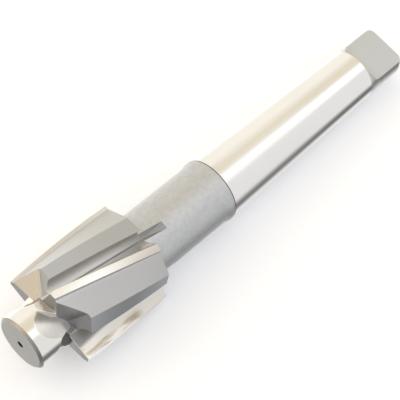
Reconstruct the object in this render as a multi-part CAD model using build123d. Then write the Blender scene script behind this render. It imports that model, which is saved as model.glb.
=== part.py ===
from build123d import *
import math
import os

# Counterbore cutter, one piece of hardened high-speed steel. Lengths are in millimetres
# and angles in degrees. The tool is shaped about the Z axis, with the pilot's front face
# at zero and the tang at the far end, and is then laid down the way it comes to rest.

# Pilot, which runs in the hole that is to be widened
pilot_diameter = 26.0
pilot_length = 16.0
pilot_chamfer = 1.2
pilot_centre_drill = 1.6
pilot_centre_mouth = 3.3

# Cutting head
head_diameter = 48.0
head_length = 50.0
tooth_count = 4
helix_angle = 14.0
margin_width = 3.5
margin_step_depth = 1.5
margin_step_run = 0.6
crease_drop = 2.55
heel_drop = 3.85
facet_angle = 22.5
flute_opening_angle = 23.5
rake_depth = 2.7
rake_lean = 10.7
web_diameter = 26.5
root_ahead_angle = 17.0
flute_wall_diameter = 29.7
flute_wall_ahead_angle = 25.9

# Grinding at the front of each tooth
end_edge_setback = 4.5
end_relief_angle = 39.5
relief_back_angle = 27.8
relief_back_turn = 41.2
relief_back_ahead = 2.8
relief_root_diameter = 27.4
gash_ahead_angle = 65.0
gash_slope = 11.5
gash_run_up = 11.1
gash_round_radius = 26.0
gash_side = 5.5
notch_ahead_angle = 13.1
notch_depth = 1.3
notch_angle = 74.0

# Neck, where the flutes run out along the milling cutter's rim
neck_diameter = 30.3
neck_length = 48.0
flute_cutter_radius = 43.0

# Collar at the big end of the shank
collar_diameter = 31.8
collar_width = 1.6
collar_flare_length = 4.5
collar_groove_width = 0.4
collar_groove_depth = 0.35

# Shank, a self-holding machine taper of size 4
shank_length = 122.0
gauge_diameter = 31.267
gauge_to_end = 117.5
taper_ratio = 19.254

# Tang at the end of the shank
tang_length = 24.0
tang_thickness = 11.9
tang_diameter = 25.0
tang_turned_length = 17.0
tang_corner_radius = 3.0
tang_runout_radius = 8.0
tang_turn = 10.4
tang_centre_drill = 2.5
tang_centre_mouth = 5.3

# Centre holes
centre_cone_angle = 60.0
centre_drill_depth = 4.0

# Room by which a cutting shape overruns what it cuts
overrun = 1.0

# Rounds in which the resting place on the floor is found
settling_rounds = 20

# Places along the tool
head_front = pilot_length
head_rear = head_front + head_length
flutes_clear = head_rear + neck_length / 2
shank_start = head_rear + neck_length
tool_end = shank_start + shank_length
tang_root = tool_end - tang_length

# Radii and angles that follow from the sizes
pilot_radius = pilot_diameter / 2
head_radius = head_diameter / 2
web_radius = web_diameter / 2
flute_wall_radius = flute_wall_diameter / 2
relief_root_radius = relief_root_diameter / 2
neck_radius = neck_diameter / 2
collar_radius = collar_diameter / 2
pitch_angle = 360 / tooth_count
turn_per_mm = math.degrees(math.tan(math.radians(helix_angle)) / head_radius)
margin_angle = math.degrees(margin_width / head_radius)
step_foot_radius = head_radius - margin_step_depth
step_foot_angle = margin_angle + math.degrees(margin_step_run / step_foot_radius)
crease_radius = head_radius - crease_drop
heel_radius = head_radius - heel_drop
heel_angle = pitch_angle - flute_opening_angle
crease_angle = heel_angle - facet_angle

# Reach of the cutting shapes beyond the tool
reach = head_diameter


def polar(radius, angle, height=0.0):
    """A point by its radius, its angle about the Z axis and its height."""
    turn = math.radians(angle)
    return Vector(radius * math.cos(turn), radius * math.sin(turn), height)


def taper_radius(height):
    """Radius of the shank's taper at a height on the tool."""
    from_gauge = height - (tool_end - gauge_to_end)
    return (gauge_diameter - from_gauge / taper_ratio) / 2


def around(shape):
    """Copies of a shape, one for each tooth."""
    return [Rot(0, 0, index * pitch_angle) * shape for index in range(tooth_count)]


def on_rake(lead_angle, depth):
    """A point of the rake land, at a depth below the cutting edge that is at lead_angle."""
    lean = math.tan(math.radians(rake_lean))
    return polar(head_radius - depth, lead_angle) + polar(depth * lean, lead_angle - 90)


def flute_root(lead_angle):
    """The deepest point of the flute ahead of the cutting edge that is at lead_angle."""
    return polar(web_radius, lead_angle - root_ahead_angle)


def flute_and_tooth(lead_angle):
    """Edges of one flute and of the tooth behind it, whose cutting edge is at lead_angle."""
    heel_before = polar(heel_radius, lead_angle - flute_opening_angle)
    wall_point = polar(flute_wall_radius, lead_angle - flute_wall_ahead_angle)
    root = flute_root(lead_angle)
    rake_foot = on_rake(lead_angle, rake_depth)
    rake_top = on_rake(lead_angle, -overrun)
    step_edge = polar(head_radius, lead_angle + margin_angle)
    step_foot = polar(step_foot_radius, lead_angle + step_foot_angle)
    step_top = step_edge + (step_edge - step_foot) * (overrun / margin_step_depth)
    crease = polar(crease_radius, lead_angle + crease_angle)
    heel = polar(heel_radius, lead_angle + heel_angle)
    return [
        ThreePointArc(heel_before, wall_point, root),
        Line(root, rake_foot),
        Line(rake_foot, rake_top),
        Line(rake_top, step_top),
        Line(step_top, step_foot),
        Line(step_foot, crease),
        Line(crease, heel),
    ]


def fluted_bar():
    """Twisted bar with the head's section, long enough to reach the end of the flutes."""
    edges = []
    for index in range(tooth_count):
        edges += flute_and_tooth(index * pitch_angle - 2 * overrun * turn_per_mm)
    start = head_front - 2 * overrun
    length = flutes_clear + 2 * overrun - start
    section = Pos(0, 0, start) * make_face(edges)
    turn = length * turn_per_mm
    return Solid.extrude_linear_with_rotation(section.face(), (0, 0, start), (0, 0, length), turn)


def standing_cylinder(radius, bottom, top):
    """Cylinder about the tool's axis between two heights."""
    return Pos(0, 0, bottom) * extrude(Circle(radius), amount=top - bottom)


def turned_blank():
    """The whole tool as it is turned, before its flutes and flats are cut."""
    groove_radius = taper_radius(shank_start) - collar_groove_depth
    collar_end = shank_start - collar_groove_width
    flare_end = collar_end - collar_width
    flare_start = flare_end - collar_flare_length
    front_corners = [
        (0, 0, 0),
        (pilot_radius - pilot_chamfer, 0, 0),
        (pilot_radius, 0, pilot_chamfer),
        (pilot_radius, 0, head_front),
        (head_radius, 0, head_front),
        (head_radius, 0, head_rear),
        (neck_radius, 0, head_rear),
        (neck_radius, 0, flare_start),
    ]
    rear_corners = [
        (collar_radius, 0, flare_end),
        (collar_radius, 0, collar_end),
        (groove_radius, 0, collar_end),
        (groove_radius, 0, shank_start),
        (taper_radius(shank_start), 0, shank_start),
        (taper_radius(tang_root), 0, tang_root),
        (tang_diameter / 2, 0, tool_end - tang_turned_length),
        (tang_diameter / 2, 0, tool_end),
        (0, 0, tool_end),
        (0, 0, 0),
    ]
    flare = TangentArc(front_corners[-1], rear_corners[0], tangent=(0, 0, 1))
    outline = [Polyline(front_corners), flare, Polyline(rear_corners)]
    blank = revolve(make_face(outline), Axis.Z)
    end_edge = blank.edges().filter_by(GeomType.CIRCLE).sort_by(Axis.Z)[-1]
    return fillet(end_edge, tang_corner_radius)


def flute_space():
    """Space that the flutes take from the head, and from the neck until the cutter is clear."""
    clear_radius = head_radius + overrun / 2
    around_head = standing_cylinder(clear_radius, head_front - overrun, head_rear)
    cutter_rim = Torus(web_radius + flute_cutter_radius, flute_cutter_radius)
    around_neck = standing_cylinder(neck_radius + overrun, head_rear, flutes_clear)
    run_out = (Pos(0, 0, head_rear) * cutter_rim) & around_neck
    return around_head + run_out - fluted_bar()


def ahead_of_tooth(corners):
    """Bar whose corners are given ahead of a tooth and up the tool, along the tooth's radius."""
    side = Plane(origin=(0, 0, 0), x_dir=(0, -1, 0), z_dir=(-1, 0, 0))
    return extrude(side * make_face(Polyline(corners, close=True)), amount=reach, both=True)


def relief_height(ahead):
    """Height of the end relief at a distance ahead of the cutting edge."""
    behind_edge = -ahead - end_edge_setback
    return head_front + behind_edge * math.tan(math.radians(end_relief_angle))


def before_relief():
    """Everything in front of the two faces of one tooth's end relief."""
    before_edge = ahead_of_tooth(
        [
            (reach, relief_height(reach)),
            (-reach, relief_height(-reach)),
            (-reach, -2 * reach),
            (reach, -2 * reach),
        ]
    )
    back_middle = Pos(0, 0, head_front - relief_back_ahead) * Rot(0, 0, relief_back_turn)
    below = Pos(0, 0, -2 * reach) * Box(4 * reach, 4 * reach, 4 * reach)
    return before_edge & (back_middle * Rot(0, -relief_back_angle, 0) * below)


def end_relief():
    """Space that the end relief takes from one tooth, down to a little above the pilot.

    It reaches back to the plane of the next tooth's front face, below that tooth's rake land.
    """
    root = flute_root(pitch_angle)
    along_face = on_rake(pitch_angle, rake_depth) - root
    face_angle = math.degrees(math.atan2(along_face.Y, along_face.X))
    before_face = Pos(reach, 0, 0) * Box(2 * reach, 4 * reach, 2 * reach)
    own_side = Pos(root.X, root.Y, head_front) * Rot(0, 0, face_angle - 90) * before_face
    return (before_relief() & own_side) - standing_cylinder(relief_root_radius, -reach, tool_end)


def gash():
    """Space ground away along the pilot before one tooth, up to the relief of the tooth ahead."""
    before_own_edge = Pos(0, -gash_side - reach, head_front) * Box(2 * reach, 2 * reach, 2 * reach)
    on_own_side = Pos(reach, 0, head_front) * Box(2 * reach, 2 * reach, 2 * reach)
    left_standing = Pos(pilot_radius, 0, head_front - gash_run_up) * Rot(0, -gash_slope, 0)
    left_standing *= Pos(-gash_round_radius, 0, 0) * Cylinder(gash_round_radius, 4 * reach)
    ground = Rot(0, 0, -gash_ahead_angle) * (on_own_side - left_standing)
    return ground & before_own_edge & (Rot(0, 0, -pitch_angle) * before_relief())


def notch():
    """Small vee between the pilot and one tooth's front face."""
    bottom = pilot_radius - notch_depth
    spread = math.tan(math.radians(90 - notch_angle))
    corners = [
        (bottom, head_front),
        (bottom + reach * spread, head_front - reach),
        (2 * reach, head_front - reach),
        (2 * reach, head_front),
    ]
    vee = extrude(Plane.XZ * make_face(Polyline(corners, close=True)), reach, both=True)
    return Rot(0, 0, -notch_ahead_angle) * vee


def tang_flat():
    """Space beside the tang on one side, with the cutter's radius at its root."""
    half = tang_thickness / 2
    runout = tang_runout_radius
    corner = math.sqrt(0.5) * runout
    root_middle = (half + runout - corner, 0, tang_root + runout - corner)
    root_end = (half + runout, 0, tang_root)
    root_start = (half, 0, tang_root + runout)
    outline = [
        Polyline((root_end, (reach, 0, tang_root), (reach, 0, tool_end + overrun))),
        Polyline(((reach, 0, tool_end + overrun), (half, 0, tool_end + overrun), root_start)),
        ThreePointArc(root_start, root_middle, root_end),
    ]
    return Rot(0, 0, tang_turn) * extrude(make_face(outline), amount=reach, both=True)


def centre_hole(drill, mouth):
    """Centre hole that opens at the origin and runs up the Z axis."""
    cone = (mouth - drill) / 2 / math.tan(math.radians(centre_cone_angle / 2))
    corners = [
        (0, 0, 0),
        (mouth / 2, 0, 0),
        (drill / 2, 0, cone),
        (drill / 2, 0, cone + centre_drill_depth),
        (0, 0, cone + centre_drill_depth),
    ]
    return revolve(make_face(Polyline(corners, close=True)), Axis.Z)


def shaped_tool():
    """The finished tool about the Z axis."""
    tool = turned_blank() - flute_space()
    tool -= around(end_relief())
    tool -= around(gash())
    tool -= around(notch())
    tool -= [tang_flat(), Rot(0, 0, 180) * tang_flat()]
    tool -= centre_hole(pilot_centre_drill, pilot_centre_mouth)
    tool -= Pos(0, 0, tool_end) * Rot(180, 0, 0) * centre_hole(tang_centre_drill, tang_centre_mouth)
    return tool


def floor_plane():
    """Floor under the tool: one tooth touches it with its land's rear corner, the next with
    its cutting edge, and the taper with its small end."""
    rear_angle = pitch_angle + head_length * turn_per_mm + crease_angle
    rear_corner = polar(crease_radius, rear_angle, head_rear)
    down = polar(1, rear_angle)
    for _ in range(settling_rounds):
        down_angle = math.degrees(math.atan2(down.Y, down.X))
        steepness = down.Z / math.hypot(down.X, down.Y) / math.tan(math.radians(helix_angle))
        lowest_angle = down_angle + math.degrees(math.asin(min(steepness, 1)))
        lowest_height = head_front + (lowest_angle - 2 * pitch_angle) / turn_per_mm
        edge_height = min(max(lowest_height, head_front), head_rear)
        edge_angle = 2 * pitch_angle + (edge_height - head_front) * turn_per_mm
        edge_point = polar(head_radius, edge_angle, edge_height)
        shank_point = polar(taper_radius(tang_root), down_angle, tang_root)
        down = (edge_point - rear_corner).cross(shank_point - rear_corner).normalized()
    along = Vector(0, 0, 1) - down * down.Z
    return Plane(origin=rear_corner, x_dir=along, z_dir=-down)


os.makedirs("parts", exist_ok=True)
floor = floor_plane()
resting = floor.to_local_coords(shaped_tool())
box = resting.bounding_box()
to_origin = Vector(-box.center().X, -box.center().Y, -box.min.Z)
resting = Pos(to_origin) * resting
resting.label = "counterbore_cutter"
export_step(resting, "parts/counterbore_cutter.step")

places = {
    "pilot face": Vector(0, 0, 0),
    "pilot's shoulder": Vector(0, 0, head_front),
    "cutting edge at the head's front": polar(head_radius, 0, head_front),
    "gauge plane": Vector(0, 0, tool_end - gauge_to_end),
    "tang's end": Vector(0, 0, tool_end),
}
for name, point in places.items():
    print(name, floor.to_local_coords(point) + to_origin)
print("solids", len(resting.solids()), "volume", resting.volume, "lift to the floor", to_origin.Z)
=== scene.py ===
import math
import bpy
from mathutils import Matrix, Vector
from types import SimpleNamespace

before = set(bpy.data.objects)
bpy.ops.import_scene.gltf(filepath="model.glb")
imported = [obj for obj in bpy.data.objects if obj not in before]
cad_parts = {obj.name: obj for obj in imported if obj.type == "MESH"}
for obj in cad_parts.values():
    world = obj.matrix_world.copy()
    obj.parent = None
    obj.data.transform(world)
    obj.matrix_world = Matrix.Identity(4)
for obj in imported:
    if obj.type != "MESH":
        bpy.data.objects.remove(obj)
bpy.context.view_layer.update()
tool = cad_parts["counterbore_cutter"]

# The tool's own frame: its three directions, of which TOOL_Z runs along its axis towards the
# tang, and the middle of the pilot's front face, in metres
TOOL_X = Vector((0.054137, -0.125526, 0.990612))
TOOL_Y = Vector((-0.006850, -0.992090, -0.125339))
TOOL_Z = Vector((0.998510, 0.0, -0.054568))
PILOT_FACE = Vector((-0.117718, 0.0, 0.0247542))
MM_PER_METRE = 1000

# Places along the axis from the pilot's front face, in millimetres. The faces ground on the
# teeth's fronts are all before FRONT_END
CHAMFER_END = 1.2
PILOT_END = 16.0
FRONT_END = 46.0
HEAD_END = 66.0
SHANK_START = 114.0
TANG_ROOT = 212.0

# Radii, depths and widths, in millimetres
CENTRE_HOLE_RADIUS = 2.7
PILOT_RADIUS = 13.0
NECK_RADIUS = 15.15
HEAD_RADIUS = 24.0
MARGIN_DEPTH = 0.3
GROOVE_WIDTH = 0.45

# Unit for the widths over which one finish changes into the next, in millimetres
EDGE = 0.1

# Turns about the axis, in degrees. The margin and the heel's crease are counted from the
# tooth's cutting edge, and the step from the margin's rear
PITCH = 90.0
MARGIN_ANGLE = 8.36
STEP_ANGLE = 1.4
CREASE_ANGLE = 44.0
HELIX_ANGLE = 14.0
TURN_PER_MM = math.degrees(math.tan(math.radians(HELIX_ANGLE)) / HEAD_RADIUS)

# Turn from TOOL_X of the tang's flats, in radians
TANG_TURN = math.radians(10.4)

# Turn from TOOL_X of the side that the photograph was taken from, in radians. The strips of
# light are placed from it, and stay in their places in every view
NEAR_TURN = math.radians(21.63)


class Field:
    """A value in a node tree, which can be worked out further with ordinary arithmetic."""

    tree = None

    def __init__(self, source):
        self.source = source

    @staticmethod
    def math(operation, *values):
        node = Field.tree.nodes.new("ShaderNodeMath")
        node.operation = operation
        for socket, value in zip(node.inputs, values):
            connect(value, socket)
        return Field(node.outputs[0])

    def __add__(self, other):
        return Field.math("ADD", self, other)

    def __radd__(self, other):
        return Field.math("ADD", other, self)

    def __sub__(self, other):
        return Field.math("SUBTRACT", self, other)

    def __rsub__(self, other):
        return Field.math("SUBTRACT", other, self)

    def __mul__(self, other):
        return Field.math("MULTIPLY", self, other)


def connect(value, socket):
    """Link a field to a socket, or set the socket to a constant."""
    if isinstance(value, Field):
        Field.tree.links.new(value.source, socket)
    else:
        socket.default_value = value


def ramp_step(value, start, end):
    """0 below start and 1 above end, smooth between."""
    node = Field.tree.nodes.new("ShaderNodeMapRange")
    node.interpolation_type = "SMOOTHSTEP"
    node.inputs["From Min"].default_value = start
    node.inputs["From Max"].default_value = end
    connect(value, node.inputs["Value"])
    return Field(node.outputs["Result"])


def band(value, low, high, soft):
    """1 between low and high and 0 outside, with each edge spread by soft to both sides."""
    below_high = 1 - ramp_step(value, high - soft, high + soft)
    return ramp_step(value, low - soft, low + soft) * below_high


def dot(source, direction):
    """Dot product of a vector output with a constant direction or another vector output."""
    node = Field.tree.nodes.new("ShaderNodeVectorMath")
    node.operation = "DOT_PRODUCT"
    Field.tree.links.new(source, node.inputs[0])
    if isinstance(direction, Vector):
        node.inputs[1].default_value = direction
    else:
        Field.tree.links.new(direction, node.inputs[1])
    return Field(node.outputs["Value"])


def noise(x, y, z, scale, detail=2.0, rough=0.5):
    """Noise at a place given by three values, between 0 and 1."""
    combine = Field.tree.nodes.new("ShaderNodeCombineXYZ")
    for socket, value in zip(combine.inputs, (x, y, z)):
        connect(value, socket)
    node = Field.tree.nodes.new("ShaderNodeTexNoise")
    node.inputs["Scale"].default_value = scale
    node.inputs["Detail"].default_value = detail
    node.inputs["Roughness"].default_value = rough
    Field.tree.links.new(combine.outputs[0], node.inputs["Vector"])
    return Field(node.outputs["Fac"])


def mix(factor, first, second):
    """Colour between two colours, each a field or three numbers."""
    node = Field.tree.nodes.new("ShaderNodeMix")
    node.data_type = "RGBA"
    connect(factor, node.inputs["Factor"])
    for name, value in (("A", first), ("B", second)):
        socket = [s for s in node.inputs if s.name == name and s.type == "RGBA"][0]
        connect(value if isinstance(value, Field) else (*value, 1.0), socket)
    return Field([s for s in node.outputs if s.type == "RGBA"][0])


def grey(level, warm=0.0):
    """Linear colour of a grey given as it looks on the screen, from 0 to 255."""
    def linear(v):
        v = max(v, 0) / 255
        return v / 12.92 if v <= 0.04045 else ((v + 0.055) / 1.055) ** 2.4
    return (linear(level + warm), linear(level), linear(level - 1.6 * warm))


class Finish:
    """Colour and roughness, built up by laying one finish over another."""

    def __init__(self, colour, rough):
        self.colour = colour
        self.rough = rough

    def lay(self, mask, colour, rough):
        """Put another colour and roughness where the mask is 1."""
        self.colour = mix(mask, self.colour, colour)
        self.rough = self.rough + (rough - self.rough) * mask


def surface():
    """Where a point of the surface is and which way it faces, in the tool's own frame."""
    place = Field.tree.nodes.new("ShaderNodeTexCoord").outputs["Object"]
    facing = Field.tree.nodes.new("ShaderNodeNewGeometry").outputs["Normal"]
    x, y, z = [
        dot(place, axis * MM_PER_METRE) - PILOT_FACE.dot(axis) * MM_PER_METRE
        for axis in (TOOL_X, TOOL_Y, TOOL_Z)
    ]
    radius = Field.math("SQRT", x * x + y * y)
    theta = Field.math("ARCTAN2", y, x) * (180 / math.pi)
    tooth = Field.math("WRAP", theta - (z - PILOT_END) * TURN_PER_MM, PITCH, 0.0)
    out_x = Field.math("DIVIDE", x, radius)
    out_y = Field.math("DIVIDE", y, radius)
    ahead = dot(facing, TOOL_X) * out_y - dot(facing, TOOL_Y) * out_x
    to_tang = dot(facing, TOOL_Z)
    tang_side = TOOL_X * math.cos(TANG_TURN) + TOOL_Y * math.sin(TANG_TURN)
    across_tang = dot(facing, tang_side)
    return SimpleNamespace(
        x=x, y=y, z=z, radius=radius, tooth=tooth, out_x=out_x, out_y=out_y, facing=facing,
        ahead=ahead, to_tang=to_tang, to_front=to_tang * -1, across_tang=across_tang)


def faces(at):
    """Masks for the kinds of face, each 1 where the face is. Limits on at.ahead, at.to_front
    and at.across_tang are cosines."""
    face = SimpleNamespace()

    # The pilot
    on_pilot = face.on_pilot = 1 - ramp_step(at.z, PILOT_END - EDGE, PILOT_END)
    on_wall = ramp_step(at.radius, PILOT_RADIUS - 0.12, PILOT_RADIUS - 0.04)
    before_chamfer_end = 1 - ramp_step(at.z, CHAMFER_END, CHAMFER_END + EDGE)
    face.ground_flat = on_pilot * (1 - on_wall)
    face.pilot_face = on_pilot * ramp_step(at.to_front, 0.9, 0.95)
    face.chamfer = on_pilot * band(at.to_front, 0.5, 0.9, 0.05) * before_chamfer_end

    # The neck and the shank
    face.shank = ramp_step(at.z, SHANK_START - EDGE, SHANK_START + EDGE)
    face.groove = band(at.z, SHANK_START - GROOVE_WIDTH, SHANK_START + EDGE / 2, EDGE)
    face.neck = ramp_step(at.z, HEAD_END - EDGE, HEAD_END + EDGE) * (1 - face.shank)

    # The teeth, and the flutes, which run out along the neck
    in_head = face.in_head = band(at.z, PILOT_END + EDGE, HEAD_END + EDGE, EDGE / 2)
    on_neck = ramp_step(at.radius, NECK_RADIUS - 0.15, NECK_RADIUS - 0.05)
    face.cut = in_head + face.neck * (1 - on_neck)
    milled_face = face.milled_face = ramp_step(face.cut, 0.4, 0.6)
    before_front_end = band(at.z, PILOT_END - EDGE, FRONT_END, EDGE / 2)
    face.front = ramp_step(at.to_front, 0.25, 0.3) * before_front_end
    margin_floor = HEAD_RADIUS - MARGIN_DEPTH
    face.margin = in_head * ramp_step(at.radius, margin_floor, margin_floor + EDGE)
    behind_margin = band(at.tooth, MARGIN_ANGLE + 0.1, MARGIN_ANGLE + STEP_ANGLE, 0.1)
    face.step = in_head * behind_margin * (1 - face.margin)
    face.facet = in_head * ramp_step(at.tooth, CREASE_ANGLE - 0.2, CREASE_ANGLE + 0.2)
    face.flute_wall = in_head * ramp_step(at.ahead * -1, 0.3, 0.45)
    near_axis = 1 - ramp_step(at.radius, 15.0, 18.0)
    face.run_out = milled_face * ramp_step(at.z, 42.0, 72.0) * near_axis
    face.rake = milled_face * ramp_step(at.ahead, 0.55, 0.65)
    from_axis = at.radius + (at.z - PILOT_END) * 0.11
    face.polished_rake = face.rake * ramp_step(from_axis, 17.8, 19.8)

    # The tang and the centre hole in each end
    face.tang = ramp_step(at.z, TANG_ROOT - EDGE, TANG_ROOT)
    face.tang_flat = face.tang * ramp_step(at.across_tang * at.across_tang, 0.8, 0.95)
    in_hole = 1 - ramp_step(at.radius, CENTRE_HOLE_RADIUS, CENTRE_HOLE_RADIUS + 0.05)
    on_end_face = band(at.to_tang * at.to_tang, 0.99, 1.1, 0.005)
    face.centre_hole = in_hole * (1 - on_end_face)
    return face


def grains(at):
    """Marks left by turning, milling and grinding, each between 0 and 1."""
    ground_place = (at.x * 2.2 + at.y * 1.2, at.z * 0.15, at.y * 0.15)
    streak_place = (at.radius * 0.32, at.tooth * 0.12, at.z * 0.05)
    return SimpleNamespace(
        fine=noise(at.x, at.y, at.z, 5.0, 4.0, 0.6),
        broad=noise(at.x, at.y, at.z * 0.4, 0.1, 2.0),
        mottled=noise(at.x, at.y, at.z, 0.45, 4.0, 0.65),
        turned=noise(at.z * 7.0, at.out_x * 0.6, at.out_y * 0.6, 1.0, 3.0),
        milled=noise(at.radius * 3.0, at.tooth * 1.6, at.z * 0.08, 1.0, 3.0),
        ground=noise(*ground_place, 1.0, 3.0),
        streaks=ramp_step(noise(*streak_place, 1.0, 4.0), 0.46, 0.68),
    )


def finishes(at, face, grain):
    """Colour and roughness of every face, each finish laid over those before it. Some finishes are
    painted shade or painted highlights.
    """
    polished = mix(grain.broad, grey(234, 2), grey(240, 1))
    near_edge = ramp_step(at.radius, 18.5, 20.5) * (1 - ramp_step(at.z, 46.0, 58.0))
    streaked = mix(grain.streaks * near_edge, grey(220, 5), grey(160, 14))
    # Painted highlight: the margin is painted white at its front end, fading to beige towards the
    # rear
    along_margin = mix(ramp_step(at.z, 24.0, 58.0), grey(254, 0), grey(206, 7))

    finish = Finish(polished, 0.19 + grain.fine * 0.04)
    finish.lay(face.neck, mix(grain.mottled, grey(184, 0), grey(216, -1)), 0.5)
    finish.lay(face.shank * ramp_step(at.z, 150.0, 205.0), polished, 0.12)
    # Painted shade: the groove where the shank starts is painted dark grey
    finish.lay(face.groove, grey(96, 4), 0.5)
    finish.lay(face.milled_face, mix(grain.milled, grey(195, 1), grey(202, 1)), 0.45)
    finish.lay(face.facet, mix(grain.milled, grey(183, -2), grey(190, -2)), 0.45)
    # Painted light: the flute walls are painted lighter than the other milled faces, to lift the
    # shade deep in the flutes
    finish.lay(face.flute_wall, mix(grain.milled, grey(222, 0), grey(230, 0)), 0.58)
    # Painted shade: the flutes are painted dark grey where they run out near the axis
    finish.lay(face.run_out, grey(150, 0), 0.4)
    # Painted shade: the rake faces are painted dark grey in the corner by the flute's root; the
    # streaked finish covers them nearer the edge
    finish.lay(face.rake, grey(158, 2), 0.5)
    finish.lay(face.polished_rake, streaked, 0.28)
    finish.lay(face.step, grey(212, 2), 0.4)
    # Painted shade: the ground fronts of the teeth are painted dark grey, a painted dark
    # reflection; the wheel's marks in it are real
    finish.lay(face.front, mix(grain.ground, grey(134, 0), grey(160, 1)), 0.3)
    finish.lay(face.margin, along_margin, 0.3)
    finish.lay(face.on_pilot, mix(grain.broad, grey(230, 3), grey(238, 3)), 0.12)
    finish.lay(face.ground_flat, mix(grain.ground, grey(206, 5), grey(222, 3)), 0.24)
    finish.lay(face.chamfer, grey(150, 2), 0.4)
    finish.lay(face.pilot_face, mix(grain.turned, grey(172, 0), grey(182, 0)), 0.55)
    finish.lay(face.tang, grey(206, 2), 0.3)
    finish.lay(face.tang_flat, mix(grain.broad, grey(201, -1), grey(207, -1)), 0.45)
    # Painted shade: the walls of the centre holes are painted near black
    finish.lay(face.centre_hole, grey(52, 2), 0.6)
    return finish


def steel():
    """The tool's one steel, with a finish for each way its faces are made, and painted shade and
    highlights on some faces.
    """
    material = bpy.data.materials.new("high_speed_steel")
    material.use_nodes = True
    tree = Field.tree = material.node_tree
    shader = tree.nodes["Principled BSDF"]
    at = surface()
    face = faces(at)
    grain = grains(at)
    finish = finishes(at, face, grain)

    # Corners are rounded a little, and except on the pilot painted a lighter grey: partly wear,
    # partly a painted highlight along the edges
    rounded = tree.nodes.new("ShaderNodeBevel")
    rounded.samples = 6
    rounded.inputs["Radius"].default_value = 0.0002
    worn = 1 - ramp_step(dot(rounded.outputs[0], at.facing), 0.88, 0.985)
    worn_share = 0.1 + grain.fine * 0.2
    finish.lay(worn * (1 - face.on_pilot) * worn_share, grey(228, 2), 0.3)

    uneven = grain.fine - 0.5
    scaled = tree.nodes.new("ShaderNodeVectorMath")
    scaled.operation = "SCALE"
    connect(finish.colour, scaled.inputs[0])
    connect(uneven * 0.08 + 1.0, scaled.inputs["Scale"])
    tree.links.new(scaled.outputs[0], shader.inputs["Base Color"])
    connect(finish.rough + uneven * 0.05, shader.inputs["Roughness"])
    shader.inputs["Metallic"].default_value = 1.0

    bump = tree.nodes.new("ShaderNodeBump")
    bump.inputs["Strength"].default_value = 0.2
    bump.inputs["Distance"].default_value = 0.00002
    cut = ramp_step(face.cut, 0.0, 1.0)
    by_wheel = grain.ground * (face.front + face.ground_flat)
    height = grain.turned * (1 - cut) + grain.milled * cut + by_wheel + grain.fine * 0.3
    connect(height, bump.inputs["Height"])
    tree.links.new(rounded.outputs[0], bump.inputs["Normal"])
    tree.links.new(bump.outputs[0], shader.inputs["Normal"])
    return material


def floor():
    """Pale table under the tool, a little lit from inside."""
    half = 3.0
    corners = [(-half, -half, 0), (half, -half, 0), (half, half, 0), (-half, half, 0)]
    mesh = bpy.data.meshes.new("table_top")
    mesh.from_pydata(corners, [], [(0, 1, 2, 3)])
    top = bpy.data.objects.new("table_top", mesh)
    bpy.context.scene.collection.objects.link(top)
    material = bpy.data.materials.new("table_white")
    material.use_nodes = True
    shader = material.node_tree.nodes["Principled BSDF"]
    shader.inputs["Base Color"].default_value = (0.86, 0.87, 0.91, 1)
    shader.inputs["Roughness"].default_value = 0.9
    shader.inputs["Specular IOR Level"].default_value = 0.0
    shader.inputs["Emission Color"].default_value = (1, 1, 1, 1)
    shader.inputs["Emission Strength"].default_value = 0.2
    top.data.materials.append(material)

    # The metal reflects the light that lies below the table's level, and not the table
    top.visible_glossy = False


def surroundings():
    """Soft white studio of five long strips that run along the tool, and a warm card before it."""
    world = bpy.data.worlds.new("studio")
    world.use_nodes = True
    bpy.context.scene.world = world
    tree = Field.tree = world.node_tree
    towards = tree.nodes.new("ShaderNodeTexCoord").outputs["Generated"]
    nearer = TOOL_X * math.cos(NEAR_TURN) + TOOL_Y * math.sin(NEAR_TURN)
    farther = TOOL_X * math.sin(NEAR_TURN) - TOOL_Y * math.cos(NEAR_TURN)
    turn = Field.math("ARCTAN2", dot(towards, farther), dot(towards, nearer))
    ahead_of_pilot = dot(towards, TOOL_Z) * -1

    # Share of the turn about the tool, with 0.5 on the side that the photograph was taken from.
    # No strip reaches the seam where the turn ends and begins
    place = turn * (0.5 / math.pi) + 0.5
    overhead = band(place, 0.46, 0.55, 0.02)
    cream_wall = band(place, 0.56, 0.67, 0.03)
    warm_white = band(place, 0.67, 0.84, 0.03)
    white_beyond = band(place, 0.84, 0.96, 0.03)
    dark_below = band(place, 0.14, 0.23, 0.03)
    warm_card = ramp_step(ahead_of_pilot, 0.5, 0.85) * band(place, 0.66, 0.95, 0.04)

    light = (0.9, 0.9, 0.9)
    for strip, colour in (
        (overhead, (1.25, 1.25, 1.25)),
        (cream_wall, (0.9, 0.82, 0.65)),
        (warm_white, (1.1, 1.05, 0.95)),
        (white_beyond, (1.5, 1.5, 1.4)),
        (dark_below, (0.2, 0.2, 0.2)),
        (warm_card, (2.5, 2.1, 1.6)),
    ):
        light = mix(strip, light, colour)
    background = tree.nodes["Background"]
    connect(light, background.inputs["Color"])
    background.inputs["Strength"].default_value = 1.0


def camera():
    """Camera at the place fitted to the photograph, 0.63 m from the frame's origin."""
    data = bpy.data.cameras.new("camera")
    data.sensor_width = 36.0
    data.lens = 123.364
    data.clip_start = 0.01
    eye = bpy.data.objects.new("camera", data)
    right = Vector((0.691942, -0.720936, -0.038304))
    up = Vector((0.597873, 0.542473, 0.590145))
    back = right.cross(up)
    turn = Matrix((right, up, back)).transposed().to_4x4()
    eye.matrix_world = Matrix.Translation((-0.259801, -0.265313, 0.513762)) @ turn
    bpy.context.scene.collection.objects.link(eye)
    bpy.context.scene.camera = eye


tool.data.materials.clear()
tool.data.materials.append(steel())
floor()
surroundings()
camera()
bpy.context.scene.view_settings.view_transform = "Standard"
